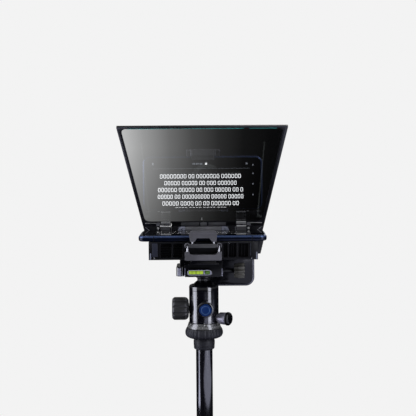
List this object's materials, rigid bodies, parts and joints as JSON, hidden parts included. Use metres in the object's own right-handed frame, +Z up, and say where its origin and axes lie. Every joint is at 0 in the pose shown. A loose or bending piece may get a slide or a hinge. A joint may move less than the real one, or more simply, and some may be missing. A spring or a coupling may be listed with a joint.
{
  "type": "phone teleprompter",
  "caption": "Phone teleprompter with a leaning beam-splitter glass, folding hood, spring phone clip and rear phone clamp, on a ball head and column.",
  "frame": {"origin": "middle of the column's flat lower end", "axes": "+Z up along the column, -Y towards the speaker who reads the glass, +X to the right seen from the speaker"},
  "size_m": [0.2064, 0.172, 0.4115],
  "materials": {
    "black_anodised": "black anodised, glossy",
    "rubber": "matt moulded rubber",
    "black_plastic": "fine satin moulded grain",
    "grey_plastic": "satin grey moulding",
    "blue_anodised": "satin blue anodised",
    "steel": "brushed",
    "chrome": "polished",
    "knurled_metal": "dark fluted metal",
    "vial_liquid": "clear tube of yellow-green liquid",
    "screen_glass": "black glossy cover glass",
    "phone_metal": "dark satin metal",
    "beam_splitter_glass": "half-silvered coated glass",
    "hood_fabric": "light-tight woven nylon"
  },
  "bodies": {
    "column": {"column_end_cap": "rubber", "column_tube": "black_anodised", "column_collar": "black_anodised", "base_flange": "rubber", "scale_ring": "black_anodised"},
    "pan_head": {"head_housing": "black_anodised", "head_collar": "black_plastic", "ball_seat": "grey_plastic"},
    "main_knob": {"main_knob": "black_plastic"},
    "friction_knob": {"friction_knob": "black_plastic", "friction_knob_cap": "blue_anodised"},
    "pan_knob": {"pan_knob": "black_anodised"},
    "ball": {"ball": "steel"},
    "ball_stem": {"ball_stem": "steel"},
    "clamp": {"clamp_base": "black_anodised", "level_housing": "chrome", "level_vial": "vial_liquid"},
    "clamp_jaw": {"clamp_jaw": "black_anodised"},
    "clamp_knob": {"clamp_knob": "knurled_metal", "clamp_screw": "steel"},
    "prompter": {"qr_plate": "black_anodised", "base_housing": "black_plastic", "front_panel": "black_plastic", "phone_deck": "black_plastic", "rear_wall": "black_plastic", "rear_stop": "grey_plastic", "stop_pad_left": "rubber", "stop_pad_right": "rubber", "side_bracket_left": "black_plastic", "side_bracket_right": "black_plastic", "hinge_leaf_left": "steel", "hinge_leaf_right": "steel", "hinge_pin_left": "chrome", "hinge_pin_right": "chrome"},
    "phone_clip": {"clip_socket": "grey_plastic", "clip_tongue": "steel", "clip_rod_left": "chrome", "clip_rod_right": "chrome"},
    "clip_arm": {"clip_arm": "black_plastic", "clip_pin_left": "chrome", "clip_pin_right": "chrome", "clip_jaw": "grey_plastic"},
    "display_phone": {"display_phone_body": "blue_anodised", "display_phone_screen": "screen_glass"},
    "display_power_key": {"display_phone_power_key": "blue_anodised"},
    "display_volume_key": {"display_phone_volume_key": "blue_anodised"},
    "glass_frame": {"glass_frame": "black_plastic", "beam_splitter": "beam_splitter_glass", "glass_retainer": "black_plastic"},
    "hood_panel": {"rear_panel": "black_plastic", "lens_sleeve": "rubber", "hood": "hood_fabric"},
    "rear_bracket": {"rear_bracket": "black_plastic", "rear_fixed_jaw": "rubber"},
    "bracket_knob": {"bracket_knob": "black_plastic"},
    "rear_jaw": {"rear_jaw": "black_plastic"},
    "camera_phone": {"camera_phone_body": "phone_metal", "camera_phone_screen": "screen_glass", "camera_phone_camera": "phone_metal"},
    "camera_power_key": {"camera_phone_power_key": "phone_metal"}
  },
  "joints": [
    {"name": "pan_spin", "type": "hinge", "parent": "column", "child": "pan_head", "pos_m": [0, 0, 0.15], "axis": [0, 0, 1], "continuous": true},
    {"name": "main_knob_turn", "type": "hinge", "parent": "pan_head", "child": "main_knob", "pos_m": [-0.03, 0, 0.1734], "axis": [1, 0, 0], "range_deg": [0, 300]},
    {"name": "friction_knob_turn", "type": "hinge", "parent": "pan_head", "child": "friction_knob", "pos_m": [0.0021, -0.024, 0.1755], "axis": [0, 1, 0], "range_deg": [0, 270]},
    {"name": "pan_knob_turn", "type": "hinge", "parent": "pan_head", "child": "pan_knob", "pos_m": [0, 0, 0.1624], "axis": [0.866, -0.5, 0], "range_deg": [0, 300]},
    {"name": "ball_tilt", "type": "hinge", "parent": "pan_head", "child": "ball", "pos_m": [0, 0, 0.1955], "axis": [1, 0, 0], "range_deg": [-20, 20]},
    {"name": "ball_roll", "type": "hinge", "parent": "ball", "child": "ball_stem", "pos_m": [0, 0, 0.1955], "axis": [0, 1, 0], "range_deg": [-20, 20]},
    {"name": "ball_spin", "type": "hinge", "parent": "ball_stem", "child": "clamp", "pos_m": [0, 0, 0.1955], "axis": [0, 0, 1], "continuous": true},
    {"name": "clamp_jaw_slide", "type": "slide", "parent": "clamp", "child": "clamp_jaw", "axis": [-1, 0, 0], "range_m": [0, 0.004]},
    {"name": "clamp_knob_turn", "type": "hinge", "parent": "clamp", "child": "clamp_knob", "pos_m": [0.046, 0, 0.2231], "axis": [1, 0, 0], "range_deg": [0, 1446]},
    {"name": "plate_slide", "type": "slide", "parent": "clamp", "child": "prompter", "axis": [0, 1, 0], "range_m": [-0.01, 0.01]},
    {"name": "clip_slide", "type": "slide", "parent": "prompter", "child": "phone_clip", "axis": [0, -1, 0], "range_m": [0, 0.012], "stiffness_N_per_m": 600, "springref_m": -0.004},
    {"name": "clip_fold", "type": "hinge", "parent": "phone_clip", "child": "clip_arm", "pos_m": [0, -0.061, 0.2626], "axis": [1, 0, 0], "range_deg": [0, 100]},
    {"name": "display_phone_slide", "type": "slide", "parent": "prompter", "child": "display_phone", "axis": [1, 0, 0], "range_m": [-0.008, 0.008]},
    {"name": "display_power_press", "type": "slide", "parent": "display_phone", "child": "display_power_key", "axis": [0, -1, 0], "range_m": [0, 0.00025], "stiffness_N_per_m": 1500, "springref_m": -0.0003},
    {"name": "display_volume_press", "type": "slide", "parent": "display_phone", "child": "display_volume_key", "axis": [0, -1, 0], "range_m": [0, 0.00025], "stiffness_N_per_m": 1500, "springref_m": -0.0003},
    {"name": "glass_fold", "type": "hinge", "parent": "prompter", "child": "glass_frame", "pos_m": [0, 0.0354, 0.2817], "axis": [1, 0, 0], "range_deg": [0, 45]},
    {"name": "hood_panel_fold", "type": "hinge", "parent": "glass_frame", "child": "hood_panel", "pos_m": [0, 0.03851, 0.28764], "axis": [1, 0, 0], "range_deg": [0, 45], "deforming": ["hood"]},
    {"name": "bracket_slide", "type": "slide", "parent": "prompter", "child": "rear_bracket", "axis": [1, 0, 0], "range_m": [-0.01, 0.01]},
    {"name": "bracket_knob_turn", "type": "hinge", "parent": "rear_bracket", "child": "bracket_knob", "pos_m": [-0.028, 0.04, 0.255], "axis": [0, 1, 0], "range_deg": [0, 270]},
    {"name": "rear_jaw_slide", "type": "slide", "parent": "rear_bracket", "child": "rear_jaw", "axis": [1, 0, 0], "range_m": [0, 0.012], "stiffness_N_per_m": 300, "springref_m": -0.006},
    {"name": "camera_phone_slide", "type": "slide", "parent": "rear_bracket", "child": "camera_phone", "axis": [0, 0, 1], "range_m": [-0.008, 0.012]},
    {"name": "camera_power_press", "type": "slide", "parent": "camera_phone", "child": "camera_power_key", "axis": [-1, 0, 0], "range_m": [0, 0.00025], "stiffness_N_per_m": 1500, "springref_m": -0.0003}
  ],
  "couplings": [
    {"joint": "clamp_knob_turn", "follows": "clamp_jaw_slide", "rad_per_m": 6283.2},
    {"joint": "hood_panel_fold", "follows": "glass_fold", "ratio": 1}
  ]
}
